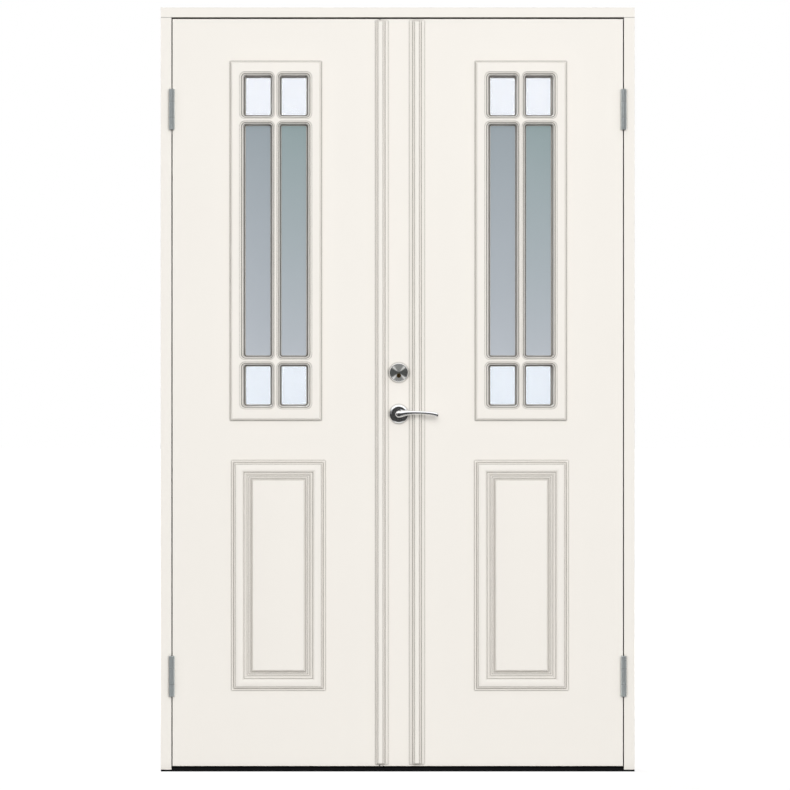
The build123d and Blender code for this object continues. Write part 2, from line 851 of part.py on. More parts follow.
def latch_bolt():
    """The sprung bolt, thrown, with a slope on its indoor side."""
    tip, tail = forend_x - latch_throw, forend_x - latch_throw + latch_length
    bolt = latch_box(tip, tail)
    half = latch_thickness / 2
    points = [
        (tip, middle_y + half), (tip, middle_y - half + latch_nose),
        (forend_x - latch_slope_gap, middle_y + half),
    ]
    low = spindle_z + latch_rise - latch_height / 2
    return bolt - prism_z(points, low, low + latch_height)


def dead_bolt():
    """The dead bolt, drawn back to just behind the forend's face."""
    start = forend_x + bolt_clearance
    bolt = dead_bolt_box(start, start + dead_bolt_length)
    return fillet(bolt.edges().filter_by(Axis.Z).group_by(Axis.X)[0], dead_bolt_thickness / 4)


def spindle():
    """The square bar that joins the two levers."""
    half, reach = spindle_side / 2, spindle_standout
    return block(lock_x - half, lock_x + half, front_y - reach, leaf_back_y + reach,
                 spindle_z - half, spindle_z + half)


# Stations along a lever's grip: share of its reach, rise, half height and half depth.
grip_stations = (
    (0.0, 0.0, 9.2, 8.6), (0.12, 1.6, 8.2, 7.8), (0.26, 4.0, 6.4, 7.2), (0.5, 4.2, 4.9, 6.8),
    (0.75, 3.4, 4.7, 7.2), (0.93, 0.2, 5.2, 7.8), (1.0, -2.2, 4.4, 6.6),
)


def lever(skin_y, out):
    """A lever on one side of the leaf: out is -1 outdoors and 1 indoors."""
    grip_y = skin_y + out * lever_standout
    neck = peg((lock_x, skin_y, spindle_z), (0, out, 0), lever_standout + neck_radius, neck_radius)
    neck_end = neck.edges().filter_by(GeomType.CIRCLE).group_by(Axis.Y)[0 if out < 0 else -1]
    sections = []
    for share, rise, half_height, half_depth in grip_stations:
        place = (lock_x + share * lever_reach, grip_y, spindle_z + rise)
        plane = Plane(origin=place, x_dir=(0, 1, 0), z_dir=(1, 0, 0))
        sections.append(plane * Ellipse(half_depth, half_height))
    grip = loft(sections)
    grip = fillet(grip.edges().group_by(Axis.X)[-1], tip_round)
    return fillet(neck_end, neck_round) + grip - spindle()


def rose(x, z, skin_y, out, bore):
    """A round cover plate on one side of the leaf."""
    plate = peg((x, skin_y, z), (0, out, 0), rose_height, rose_radius)
    rim = plate.edges().filter_by(GeomType.CIRCLE).group_by(Axis.Y)[0 if out < 0 else -1]
    return fillet(rim, rose_round) - peg((x, skin_y, z), (0, out, 0), rose_height, bore)


def roses():
    """The round plates: one under each lever and one under the thumbturn."""
    handle_bore = neck_radius + rose_bore_clearance
    turn_bore = turn_stem_radius + rose_bore_clearance
    return [
        rose(lock_x, spindle_z, front_y, -1, handle_bore),
        rose(lock_x, spindle_z, leaf_back_y, 1, handle_bore),
        rose(lock_x, cylinder_z, leaf_back_y, 1, turn_bore),
    ]


def cylinder_ring():
    """The bevelled guard ring round the outer cylinder."""
    z, out = cylinder_z + plug_drop, (0, -1, 0)
    ring = cone((lock_x, front_y, z), out, ring_height, ring_radius, ring_radius - ring_taper)
    rim = ring.edges().filter_by(GeomType.CIRCLE).group_by(Axis.Y)[0]
    ring = fillet(rim, ring_round)
    return ring - peg((lock_x, front_y, z), out, ring_height, ring_bore)


def outer_cylinder():
    """The cylinder's round face in the ring, and its body back to the lock case."""
    z, face_y = cylinder_z + plug_drop, front_y - ring_height + cylinder_face_recess
    body = peg((lock_x, front_y, z), (0, -1, 0), front_y - face_y, ring_bore - ring_clearance)
    back_y = middle_y - lock_case_thickness / 2
    body += peg((lock_x, front_y, cylinder_z), (0, 1, 0), back_y - front_y, cylinder_body_radius)
    bore = plug_radius + running_clearance
    return body - peg((lock_x, face_y, cylinder_z), (0, 1, 0), back_y - face_y, bore)


def key_plug():
    """The plug that the key turns, with an open keyway in its face."""
    face_y = front_y - ring_height + cylinder_face_recess
    plug = peg((lock_x, face_y, cylinder_z), (0, 1, 0), plug_length, plug_radius)
    half, z = keyway_width / 2, cylinder_z + keyway_rise
    return plug - block(lock_x - half, lock_x + half, face_y, face_y + keyway_depth,
                        z - keyway_height / 2, z + keyway_height / 2)


def thumbturn():
    """The indoor knob that throws the dead bolt, upright when the bolt is back."""
    out_y = leaf_back_y + thumbturn_standout
    start_y = middle_y + lock_case_thickness / 2
    grip_y = leaf_back_y + rose_height + thumbturn_gap
    stem = peg((lock_x, start_y, cylinder_z), (0, 1, 0), grip_y + overrun - start_y, turn_stem_radius)
    half = thumbturn_thickness / 2
    grip = block(lock_x - half, lock_x + half, grip_y, out_y,
                 cylinder_z - thumbturn_length / 2, cylinder_z + thumbturn_length / 2)
    grip = fillet(grip.edges().filter_by(Axis.X), half)
    return stem + fillet(grip.edges().group_by(Axis.Y)[-1], thumbturn_round)


def strike_box():
    """The strike plate's outside, set in the passive leaf's edge."""
    half, z = strike_width / 2, forend_middle_z()
    return block(passive.meet_x - strike_thickness, passive.meet_x, middle_y - half, middle_y + half,
                 z - strike_height / 2, z + strike_height / 2)


def strike_pockets(x0):
    """The openings behind the strike plate that take the latch and the dead bolt."""
    x1, grown = passive.meet_x, strike_clearance
    return latch_box(x0, x1, grown) + dead_bolt_box(x0, x1, grown)


def strike_screw_places():
    """The middle of each strike screw's head."""
    reach = strike_height / 2 - edge_screw_from_end
    return [(passive.meet_x, middle_y, forend_middle_z() + way * reach) for way in (-1, 1)]


def strike_plate():
    """The plate in the passive leaf's edge that the bolts go into."""
    plate = strike_box() - strike_pockets(passive.meet_x - strike_thickness)
    for place in strike_screw_places():
        plate -= screw_hole(place, (-1, 0, 0))
    return plate


def flush_bolts():
    """Each bolt of the passive leaf: its outer end's height and the way it points."""
    return [
        (leaf_top_z - flush_rod_recess, 1),
        (leaf_bottom_z + flush_rod_recess, -1),
    ]


def tab_middle(end_z, way):
    """The height of a bolt's thumb tab when the bolt is drawn back."""
    return end_z - way * (flush_rod_length - thumb_tab_from_end)


def flush_bolt(end_z, way):
    """A round bolt in the leaf's edge with a tab for the thumb."""
    x, z = keeper_x(), tab_middle(end_z, way)
    start = (x, middle_y, end_z - way * flush_rod_length)
    rod = peg(start, (0, 0, way), flush_rod_length, flush_rod_radius)
    end = rod.edges().filter_by(GeomType.CIRCLE).group_by(Axis.Z)[-1 if way > 0 else 0]
    half = thumb_tab_thickness / 2
    tab = block(x, passive.meet_x - thumb_tab_recess, middle_y - half, middle_y + half,
                z - thumb_tab_height / 2, z + thumb_tab_height / 2)
    return chamfer(end, rod_chamfer) + tab


def flush_slot(end_z, way, x0):
    """The slot that a thumb tab slides in, from a depth in the stile to the leaf's edge."""
    z, half = tab_middle(end_z, way), flush_slot_width / 2
    travelled = z + way * flush_travel
    reach = way * (thumb_tab_height / 2 + rod_clearance)
    return block(x0, passive.meet_x, middle_y - half, middle_y + half, z - reach, travelled + reach)


def flush_plate(end_z, way):
    """The face plate of one bolt, flush in the leaf's edge."""
    z, half = tab_middle(end_z, way) + way * flush_travel / 2, flush_plate_width / 2
    x0 = passive.meet_x - flush_plate_thickness
    return block(x0, passive.meet_x, middle_y - half, middle_y + half,
                 z - flush_plate_height / 2, z + flush_plate_height / 2)


def passive_meeting_stile():
    """The passive leaf's timber at the meeting edge, with its strike, bolts and gasket."""
    body = meeting_stile(passive)
    body -= strike_box() + strike_pockets(passive.meet_x - strike_pocket_depth)
    for place in strike_screw_places():
        body -= screw_hole(place, (-1, 0, 0))
    for end_z, way in flush_bolts():
        bore_length = flush_rod_length + flush_rod_recess + rod_clearance
        start = (keeper_x(), middle_y, end_z + way * flush_rod_recess)
        body -= peg(start, (0, 0, -way), bore_length, flush_rod_radius + rod_clearance)
        body -= flush_plate(end_z, way) + flush_slot(end_z, way, keeper_x())
    return body - meeting_gasket_root()


def meeting_gasket_root():
    """The root of the meeting gasket, in a groove in the passive leaf's edge."""
    y = front_y + meeting_gasket_depth + gasket_width / 2
    half = gasket_root_width / 2
    return block(passive.meet_x - gasket_root_depth, passive.meet_x, y - half, y + half,
                 leaf_bottom_z, leaf_top_z)


def meeting_gasket():
    """The seal up the passive leaf's edge."""
    y0 = front_y + meeting_gasket_depth
    bulb = block(passive.meet_x, passive.meet_x + meeting_gasket_stand, y0, y0 + gasket_width,
                 leaf_bottom_z, leaf_top_z)
    bulb = chamfer(bulb.edges().filter_by(Axis.Z).group_by(Axis.X)[-1], gasket_chamfer)
    return bulb + meeting_gasket_root()


def write_frame():
    """Everything that stays fixed in the wall."""
    write("left_jamb", jamb(-1))
    write("right_jamb", jamb(1))
    write("frame_head", head())
    write("threshold", threshold())
    write("base_strip", base_strip())
    write("frame_gasket", frame_gasket())
    write("fixing_sleeves", *fixing_sleeves())
    write("frame_hinge_halves", *frame_hinge_halves())
    write("hinge_pins", *hinge_pins())
    write("frame_hinge_screws", *hinge_screws(-jamb_rebate_x, -1), *hinge_screws(jamb_rebate_x, 1))
    write("bolt_keepers", *keepers())


def edge_screw_places(leaf):
    """The screws in a leaf's meeting edge, which hold the forend or the strike."""
    return forend_screw_places() if leaf is active else strike_screw_places()


def write_leaf(leaf):
    """What both leaves have."""
    name = leaf.name
    bottom_unit, middle_unit, top_unit = glass_units(leaf)
    write(f"{name}_outer_skin", skin(leaf, front_y, front_y + skin_thickness))
    write(f"{name}_inner_skin", skin(leaf, leaf_back_y - skin_thickness, leaf_back_y))
    write(f"{name}_hinge_stile", hinge_stile(leaf))
    write(f"{name}_rails", *rails(leaf))
    write(f"{name}_core", core(leaf))
    write(f"{name}_outer_cassette", cassette(leaf, front_y, -1, glass_y))
    write(f"{name}_inner_cassette", cassette(leaf, leaf_back_y, 1, glass_back_y))
    write(f"{name}_clear_panes", *panes(leaf, (bottom_unit, top_unit)))
    write(f"{name}_frosted_panes", *panes(leaf, (middle_unit,)))
    write(f"{name}_glass_spacers", *spacers(leaf))
    write(f"{name}_panel_moulding", panel_moulding(leaf))
    write(f"{name}_panel_field", panel_field(leaf))
    write(f"{name}_hinge_halves", *leaf_hinge_halves(leaf))
    edge_screws = [screw(place, (leaf.side, 0, 0)) for place in edge_screw_places(leaf)]
    write(f"{name}_screws", *hinge_screws(leaf.edge_x, -leaf.side), *edge_screws)


def write_active_fittings():
    """The active leaf's strips, lock and handles."""
    write("active_lock_stile", active_lock_stile())
    write("meeting_cover_strip", meeting_cover_strip())
    write("second_cover_strip", cover_strip(second_strip_x - strip_width / 2, first_fillet=True))
    write("lock_case", lock_case())
    write("lock_forend", forend())
    write("roses", *roses())
    write("cylinder_ring", cylinder_ring())
    write("outer_cylinder", outer_cylinder())
    write("key_plug", key_plug())
    write("thumbturn", thumbturn())
    write("outer_lever", lever(front_y, -1))
    write("inner_lever", lever(leaf_back_y, 1))
    write("spindle", spindle())
    write("latch_bolt", latch_bolt())
    write("dead_bolt", dead_bolt())


def write_passive_fittings():
    """The passive leaf's strike, bolts and meeting gasket."""
    upper, lower = flush_bolts()
    slotted = [
        flush_plate(*bolt) - flush_slot(*bolt, passive.meet_x - flush_plate_thickness)
        for bolt in flush_bolts()
    ]
    write("passive_meeting_stile", passive_meeting_stile())
    write("strike_plate", strike_plate())
    write("top_flush_bolt", flush_bolt(*upper))
    write("bottom_flush_bolt", flush_bolt(*lower))
    write("flush_bolt_plates", *slotted)
    write("meeting_gasket", meeting_gasket())


write_frame()
for each_leaf in leaves:
    write_leaf(each_leaf)
write_active_fittings()
write_passive_fittings()
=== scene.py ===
import json
import math

import bmesh
import bpy
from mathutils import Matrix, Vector


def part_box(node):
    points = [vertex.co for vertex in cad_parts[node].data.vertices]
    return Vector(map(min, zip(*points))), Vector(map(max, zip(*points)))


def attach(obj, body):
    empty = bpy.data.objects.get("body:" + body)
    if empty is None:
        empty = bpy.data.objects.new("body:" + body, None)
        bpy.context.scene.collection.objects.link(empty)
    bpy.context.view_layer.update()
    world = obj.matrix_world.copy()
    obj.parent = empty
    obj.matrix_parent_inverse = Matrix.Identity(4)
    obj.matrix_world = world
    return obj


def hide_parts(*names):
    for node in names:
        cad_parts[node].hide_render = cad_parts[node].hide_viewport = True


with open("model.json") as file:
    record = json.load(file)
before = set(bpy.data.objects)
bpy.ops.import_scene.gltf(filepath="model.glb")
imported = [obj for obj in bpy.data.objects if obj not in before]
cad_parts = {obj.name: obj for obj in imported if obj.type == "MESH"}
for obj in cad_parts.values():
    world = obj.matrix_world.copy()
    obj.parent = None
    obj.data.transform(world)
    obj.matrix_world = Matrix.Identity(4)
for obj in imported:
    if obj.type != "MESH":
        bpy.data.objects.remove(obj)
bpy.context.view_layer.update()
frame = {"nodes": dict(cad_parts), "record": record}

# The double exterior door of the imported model, finished with materials and finer fittings.
# Metres, in the model's own frame: +X across, +Y indoors, +Z up.


def put(node, inputs):
    """Sets a shader node's inputs, each from a value or from another node's output."""
    tree = node.id_data
    for key, value in inputs.items():
        if isinstance(value, bpy.types.NodeSocket):
            tree.links.new(value, node.inputs[key])
        else:
            node.inputs[key].default_value = value
    return node


def add(tree, kind, inputs=None, **settings):
    """A new shader node with its settings and inputs."""
    node = tree.nodes.new("ShaderNode" + kind)
    for name, value in settings.items():
        setattr(node, name, value)
    return put(node, inputs or {})


def blank(name):
    """An empty node material."""
    material = bpy.data.materials.new(name)
    material.use_nodes = True
    material.node_tree.nodes.clear()
    return material, material.node_tree


def here(tree, scale=(1.0, 1.0, 1.0)):
    """A piece's own coordinates in metres, stretched by a scale."""
    place = add(tree, "TexCoord").outputs["Object"]
    return add(tree, "Mapping", {"Vector": place, "Scale": scale}).outputs["Vector"]


def noise(tree, vector, scale, detail=3.0, roughness=0.5):
    """Noise between 0 and 1."""
    inputs = {"Vector": vector, "Scale": scale, "Detail": detail, "Roughness": roughness}
    return add(tree, "TexNoise", inputs).outputs["Fac"]


def span(tree, value, low, high, from_low=0.0, from_high=1.0):
    """A value carried from one range to another."""
    inputs = {"Value": value, "From Min": from_low, "From Max": from_high, "To Min": low, "To Max": high}
    return add(tree, "MapRange", inputs).outputs["Result"]


def blend(tree, factor, first, second, mode="MIX"):
    """Two colours mixed by a factor."""
    node = add(tree, "Mix", data_type="RGBA", blend_type=mode)
    sockets = (node.inputs[0], node.inputs[6], node.inputs[7])  # the factor and the two colours
    for socket, value in zip(sockets, (factor, first, second)):
        if isinstance(value, bpy.types.NodeSocket):
            tree.links.new(value, socket)
        else:
            socket.default_value = value
    return node.outputs[2]  # the mixed colour


def math_node(tree, operation, *values):
    """A sum, product or the like of numbers and outputs."""
    node = add(tree, "Math", operation=operation)
    put(node, dict(enumerate(values)))
    return node.outputs["Value"]


def times(tree, first, second):
    """The product of two numbers or outputs."""
    return math_node(tree, "MULTIPLY", first, second)


def plus(tree, first, second):
    """The sum of two numbers or outputs."""
    return math_node(tree, "ADD", first, second)


def apart(tree, vector):
    """The three parts of a vector, as outputs X, Y and Z."""
    return add(tree, "SeparateXYZ", {"Vector": vector}).outputs


def openness(tree, reach):
    """How open a place is to what lies within a reach: 1 on a flat face, less in a hollow."""
    return add(tree, "AmbientOcclusion", {"Distance": reach}, samples=8).outputs["AO"]


def eased(tree, radius):
    """The normal with edges rounded by a radius."""
    return add(tree, "Bevel", {"Radius": radius}, samples=6).outputs["Normal"]


def bump(tree, height, distance, normal=None):
    """A bumped normal; distance is the height of a full step in metres."""
    inputs = {"Height": height, "Distance": distance, "Strength": 1.0}
    if normal is not None:
        inputs["Normal"] = normal
    return add(tree, "Bump", inputs).outputs["Normal"]


def surface(tree, **inputs):
    """The principled surface of a material, from inputs named with underscores."""
    named = {name.replace("_", " "): value for name, value in inputs.items()}
    shader = add(tree, "BsdfPrincipled", named)
    add(tree, "OutputMaterial", {"Surface": shader.outputs["BSDF"]})


PAINT = (0.875, 0.842, 0.79, 1.0)
PAINT_SHADE = (0.80, 0.766, 0.712, 1.0)
WARMTH = (1.0, 0.975, 0.935)  # the tint of paint in the shade
JOINT_TONE = (0.36, 0.35, 0.33, 1.0)
HOLLOW_SHADE_REACH = 0.03


def shade(level):
    """The warm grey of the painted shade, that darkens paint to a level."""
    return (*(level * part for part in WARMTH), 1.0)


def paint(name, soften, peel, grain=0.0, depth=0.5, hollow=0.62, crease=0.38, reach=0.0085,
          joint_z=None):
    """Satin paint: slightly uneven, with a fine peel, softened edges and painted shade in each hollow and
    crease.

    soften is the edge radius, peel the depth of the fine texture and grain that of the wood. depth is
    how much painted shade darkens each hollow, hollow and crease are the tones of painted shade in a
    hollow and in a crease, and reach is how far the painted shade of a crease spreads over the paint
    beside it. joint_z is the height of an open joint between two boards.
    """
    material, tree = blank(name)
    cloud = noise(tree, here(tree), 2.2, 4.0)
    colour = blend(tree, span(tree, cloud, 0.0, 0.22), PAINT, PAINT_SHADE)
    # Painted shade: the colour darkens in each hollow and crease, found by ambient occlusion.
    hollow_shade = span(tree, openness(tree, HOLLOW_SHADE_REACH), depth, 0.0)
    colour = blend(tree, hollow_shade, colour, shade(hollow), "MULTIPLY")
    crease_shade = span(tree, openness(tree, reach), 1.0, 0.0, 0.32, 0.95)
    colour = blend(tree, crease_shade, colour, shade(crease), "MULTIPLY")
    if joint_z is not None:
        height = apart(tree, here(tree))["Z"]
        off = math_node(tree, "ABSOLUTE", math_node(tree, "SUBTRACT", height, joint_z))
        colour = blend(tree, span(tree, off, 0.8, 0.0, 0.0006, 0.0014), colour, JOINT_TONE)
    fibres = noise(tree, here(tree, (140.0, 140.0, 2.5)), 1.0, 5.0)
    normal = bump(tree, fibres, grain, eased(tree, soften))
    orange = noise(tree, here(tree), 420.0, 2.0)
    normal = bump(tree, orange, peel, normal)
    gloss = span(tree, noise(tree, here(tree), 35.0, 4.0), 0.38, 0.5)
    surface(tree, Base_Color=colour, Roughness=gloss, Normal=normal, Specular_IOR_Level=0.35)
    return material


def metal(name, low, high, roughness, streak, scratch=0.00002, soften=0.0004, metallic=1.0):
    """A plated or bare metal: two tones, uneven gloss, painted shade in each crease and fine scratches.

    streak is the scale of the scratches along each axis and scratch their depth.
    """
    material, tree = blank(name)
    patches = noise(tree, here(tree), 90.0, 5.0, 0.6)
    colour = blend(tree, patches, low, high)
    # Painted shade: the colour darkens toward black in each crease and hollow, found by ambient occlusion.
    crease_shade = span(tree, openness(tree, 0.004), 1.0, 0.0, 0.2, 0.9)
    colour = blend(tree, crease_shade, colour, (0.12, 0.12, 0.12, 1.0), "MULTIPLY")
    lines = noise(tree, here(tree, streak), 1.0, 3.0)
    gloss = span(tree, noise(tree, here(tree), 240.0, 3.0), roughness * 0.75, roughness * 1.35)
    normal = bump(tree, lines, scratch, eased(tree, soften))
    surface(tree, Base_Color=colour, Metallic=metallic, Roughness=gloss, Normal=normal)
    return material


def turned_face(name, centre_x, centre_z):
    """The cylinder's turned face: fine rings, with four light sweeps and grey wedges above and below as
    painted reflections.
    """
    sharpness, ring_pitch = 16.0, 9000.0
    material, tree = blank(name)
    x, _, z = apart(tree, here(tree))
    across = math_node(tree, "SUBTRACT", x, centre_x)
    up = math_node(tree, "SUBTRACT", z, centre_z)
    product = math_node(tree, "ABSOLUTE", times(tree, across, up))
    squares = plus(tree, times(tree, across, across), times(tree, up, up))
    whole = plus(tree, squares, 0.000002)  # never zero, so the middle can be divided by it
    # Painted reflection: four light sweeps round the axis, lightest on the diagonals.
    painted_sweep = math_node(tree, "DIVIDE", times(tree, product, 2.0), whole)
    painted_sweep = math_node(tree, "POWER", painted_sweep, sharpness)
    rings = math_node(tree, "SINE", times(tree, math_node(tree, "SQRT", squares), ring_pitch))
    patches = noise(tree, here(tree), 160.0, 4.0)
    dark = blend(tree, patches, (0.055, 0.058, 0.055, 1.0), (0.11, 0.115, 0.11, 1.0))
    # Painted reflection: grey wedges above and below the middle.
    upright = math_node(tree, "DIVIDE", times(tree, up, up), whole)
    dark = blend(tree, span(tree, upright, 0.0, 0.9, 0.45, 0.75), dark, (0.27, 0.275, 0.265, 1.0))
    colour = blend(tree, painted_sweep, dark, (0.80, 0.80, 0.78, 1.0))
    surface(tree, Base_Color=colour, Metallic=0.25, Roughness=span(tree, rings, 0.24, 0.36, -1.0, 1.0),
            Normal=bump(tree, rings, 0.00001))
    return material


def timber(name):
    """Bare softwood with rings drawn out along the height."""
    material, tree = blank(name)
    place = here(tree, (1.0, 1.0, 0.08))
    waves = add(tree, "TexWave", {"Vector": place, "Scale": 26.0, "Distortion": 7.0, "Detail": 3.0})
    fibres = noise(tree, here(tree, (300.0, 300.0, 6.0)), 1.0, 4.0)
    colour = blend(tree, waves.outputs["Fac"], (0.62, 0.43, 0.24, 1.0), (0.46, 0.28, 0.13, 1.0))
    colour = blend(tree, span(tree, fibres, 0.0, 0.3), colour, (0.33, 0.19, 0.08, 1.0))
    surface(tree, Base_Color=colour, Roughness=span(tree, fibres, 0.55, 0.75),
            Normal=bump(tree, fibres, 0.0002))
    return material


def foam(name):
    """Insulation, with the cells of a cut board."""
    material, tree = blank(name)
    cells = add(tree, "TexVoronoi", {"Vector": here(tree), "Scale": 260.0}).outputs["Distance"]
    colour = blend(tree, cells, (0.80, 0.72, 0.50, 1.0), (0.66, 0.57, 0.36, 1.0))
    surface(tree, Base_Color=colour, Roughness=0.9, Normal=bump(tree, cells, 0.0004))
    return material


def rubber(name):
    """A black seal with a dull, slightly dusty face."""
    material, tree = blank(name)
    dust = noise(tree, here(tree), 60.0, 5.0)
    colour = blend(tree, dust, (0.012, 0.012, 0.013, 1.0), (0.035, 0.034, 0.033, 1.0))
    fine = noise(tree, here(tree), 900.0, 2.0)
    surface(tree, Base_Color=colour, Roughness=span(tree, dust, 0.5, 0.75),
            Normal=bump(tree, fine, 0.00005))
    return material


def threshold_metal(name):
    """Dark anodised aluminium with lines drawn along the sill."""
    material, tree = blank(name)
    lines = noise(tree, here(tree, (3.0, 900.0, 900.0)), 1.0, 3.0)
    patches = noise(tree, here(tree), 18.0, 4.0)
    colour = blend(tree, patches, (0.004, 0.004, 0.0045, 1.0), (0.009, 0.009, 0.01, 1.0))
    surface(tree, Base_Color=colour, Specular_IOR_Level=0.15, Roughness=span(tree, lines, 0.42, 0.6),
            Normal=bump(tree, lines, 0.00003))
    return material


def clear_glass(name):
    """A clear pane with the faint blue of a sealed unit, a little lighter higher up, almost flat."""
    material, tree = blank(name)
    wave = noise(tree, here(tree), 9.0, 2.0)
    height = apart(tree, here(tree))["Z"]
    rise = plus(tree, span(tree, height, 0.0, 1.0, 1.0, 1.9), span(tree, wave, -0.08, 0.08))
    shader = add(tree, "BsdfPrincipled", {
        "Base Color": blend(tree, rise, (0.868, 0.897, 0.933, 1.0), (0.908, 0.921, 0.948, 1.0)),
        "Roughness": span(tree, wave, 0.0, 0.012), "IOR": 1.1, "Transmission Weight": 1.0,
        "Normal": bump(tree, wave, 0.00002),
    })
    clear = add(tree, "BsdfTransparent", {"Color": (0.93, 0.95, 0.97, 1.0)})
    shadow = add(tree, "LightPath").outputs["Is Shadow Ray"]
    mixed = add(tree, "MixShader", {0: shadow, 1: shader.outputs["BSDF"], 2: clear.outputs["BSDF"]})
    add(tree, "OutputMaterial", {"Surface": mixed.outputs["Shader"]})
    return material


def frosted_glass(name, middle_x, low_z, high_z):
    """Etched glass: grey-blue, lighter towards the bottom and greener at its right, with a fine grain."""
    material, tree = blank(name)
    across, _, height = apart(tree, add(tree, "TexCoord").outputs["Object"])
    rise = span(tree, height, 0.0, 1.0, low_z, high_z)
    right = span(tree, across, 0.0, 1.0, middle_x - 0.02, middle_x + 0.02)
    cloud = noise(tree, here(tree, (3.0, 1.0, 1.0)), 2.0, 2.0)
    share = plus(tree, rise, span(tree, cloud, -0.12, 0.12))
    upper = blend(tree, right, (0.278, 0.324, 0.355, 1.0), (0.250, 0.321, 0.331, 1.0))
    colour = blend(tree, share, (0.430, 0.463, 0.507, 1.0), upper)
    grain = noise(tree, here(tree), 1600.0, 2.0)
    speck = noise(tree, here(tree), 500.0, 3.0)
    colour = blend(tree, span(tree, speck, 0.0, 0.06), colour, (0.62, 0.65, 0.68, 1.0))
    surface(tree, Base_Color=colour, Roughness=span(tree, speck, 0.32, 0.45),
            Normal=bump(tree, grain, 0.00006), Specular_IOR_Level=0.3,
            Coat_Weight=0.15, Coat_Roughness=0.25)
    return material


frosted_low, frosted_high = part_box("active_frosted_panes")
ring_low, ring_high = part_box("cylinder_ring")
HEAD_STOP = 0.015  # how far the head's stop hangs below its joint with the jambs
finish = {
    "painted_timber": paint("painted_timber", soften=0.0010, peel=0.000012, grain=0.00003,
                            joint_z=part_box("frame_head")[0].z + HEAD_STOP),
    "painted_skin": paint("painted_skin", soften=0.0007, peel=0.00001, reach=0.0045),
    "painted_moulding": paint("painted_moulding", soften=0.0003, peel=0.000008, depth=0.8,
                              crease=0.42, reach=0.006),
    "bare_timber": timber("bare_timber"),
    "insulation": foam("insulation"),
    "dark_threshold": threshold_metal("dark_threshold"),
    "gasket": rubber("gasket"),
    "steel": metal("steel", (0.50, 0.50, 0.51, 1.0), (0.62, 0.62, 0.63, 1.0), roughness=0.3,
                   streak=(500.0, 500.0, 20.0)),
    "hinge_steel": metal("hinge_steel", (0.60, 0.65, 0.66, 1.0), (0.78, 0.83, 0.84, 1.0),
                         roughness=0.3, streak=(600.0, 600.0, 25.0), metallic=0.75),
    "chrome": metal("chrome", (0.86, 0.87, 0.88, 1.0), (0.93, 0.94, 0.95, 1.0), roughness=0.09,
                    streak=(40.0, 700.0, 700.0), scratch=0.000004),
    "cylinder_steel": turned_face("cylinder_steel", (ring_low.x + ring_high.x) / 2,
                                  (ring_low.z + ring_high.z) / 2),
    "plug_brass": metal("plug_brass", (0.035, 0.022, 0.008, 1.0), (0.12, 0.078, 0.025, 1.0),
                        roughness=0.35, streak=(500.0, 20.0, 500.0), metallic=0.7),
    "clear_glass": clear_glass("clear_glass"),
    "frosted_glass": frosted_glass("frosted_glass", (frosted_low.x + frosted_high.x) / 2,
                                   frosted_low.z, frosted_high.z),
    "spacer_aluminium": metal("spacer_aluminium", (0.66, 0.67, 0.68, 1.0), (0.75, 0.76, 0.77, 1.0),
                              roughness=0.35, streak=(30.0, 400.0, 30.0)),
}


def dress(piece, material):
    """Gives a piece one material."""
    piece.data.materials.clear()
    piece.data.materials.append(material)


for part in frame["record"]["subparts"]:
    dress(frame["nodes"][part["node"]], finish[part["material_slot"]])
left_low, left_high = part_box("passive_frosted_panes")
dress(frame["nodes"]["passive_frosted_panes"],
      frosted_glass("frosted_glass_left", (left_low.x + left_high.x) / 2, left_low.z, left_high.z))


def mesh_piece(name, mesh, body, slot, *nodes, crease=32.0):
    """A finished mesh as a piece that stands for CAD nodes and rides on their body."""
    piece = bpy.data.objects.new(name, mesh)
    bpy.context.scene.collection.objects.link(piece)
    mesh.shade_smooth()
    mesh.set_sharp_from_angle(angle=math.radians(crease))
    dress(piece, finish[slot])
    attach(piece, body)
    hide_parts(*nodes)
    return piece


def skirt(sheet, rings):
    """Faces between each ring of vertices and the next."""
    for first, second in zip(rings, rings[1:]):
        count = len(first)
        for i in range(count):
            j = (i + 1) % count
            sheet.faces.new((first[i], first[j], second[j], second[i]))


def turned(sheet, profile, centre, out, count=96, closed=True):
    """Turns a profile of (radius, standout) points about an axis along Y.

    out is the way along Y that the profile stands out. A closed skin runs back to its first ring.
    """
    rings = []
    for radius, stand in profile:
        y = centre[1] + out * stand
        rings.append([
            sheet.verts.new((centre[0] + radius * math.cos(2 * math.pi * i / count), y,
                             centre[2] + radius * math.sin(2 * math.pi * i / count)))
            for i in range(count)
        ])
    skirt(sheet, rings + rings[:1] if closed else rings)
    return rings


def rounded(corners, radius, steps=5):
    """A profile with its corners rounded off, apart from its two ends."""
    points = [corners[0]]
    for before, corner, after in zip(corners, corners[1:], corners[2:]):
        corner, before, after = Vector(corner), Vector(before), Vector(after)
        reach_in = min(radius, (before - corner).length * 0.45)
        reach_out = min(radius, (after - corner).length * 0.45)
        start = corner + (before - corner).normalized() * reach_in
        end = corner + (after - corner).normalized() * reach_out
        for i in range(steps + 1):
            t = i / steps
            points.append(tuple(start * (1 - t) ** 2 + corner * 2 * t * (1 - t) + end * t ** 2))
    points.append(corners[-1])
    return points


def closed_mesh(name, sheet):
    """The mesh of a bmesh, with its normals turned outwards."""
    bmesh.ops.recalc_face_normals(sheet, faces=sheet.faces)
    mesh = bpy.data.meshes.new(name)
    sheet.to_mesh(mesh)
    sheet.free()
    return mesh


LOCK_X = (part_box("key_plug")[0].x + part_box("key_plug")[1].x) / 2
SPINDLE_Z = (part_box("spindle")[0].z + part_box("spindle")[1].z) / 2
CYLINDER_Z = (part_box("key_plug")[0].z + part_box("key_plug")[1].z) / 2
FACE_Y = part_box("active_outer_skin")[0].y
BACK_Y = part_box("active_inner_skin")[1].y


# Turned pieces: points of radius and standout, in metres.
ROSE = ((0.0208, 0.0088), (0.0252, 0.0062), (0.0259, 0.0050), (0.0259, 0.0001))
LEVER_BORE, THUMBTURN_BORE = 0.0096, 0.0052
RING_FOOT, RING_BORE = 0.0269, 0.0226
TURNED_EDGE = 0.0009


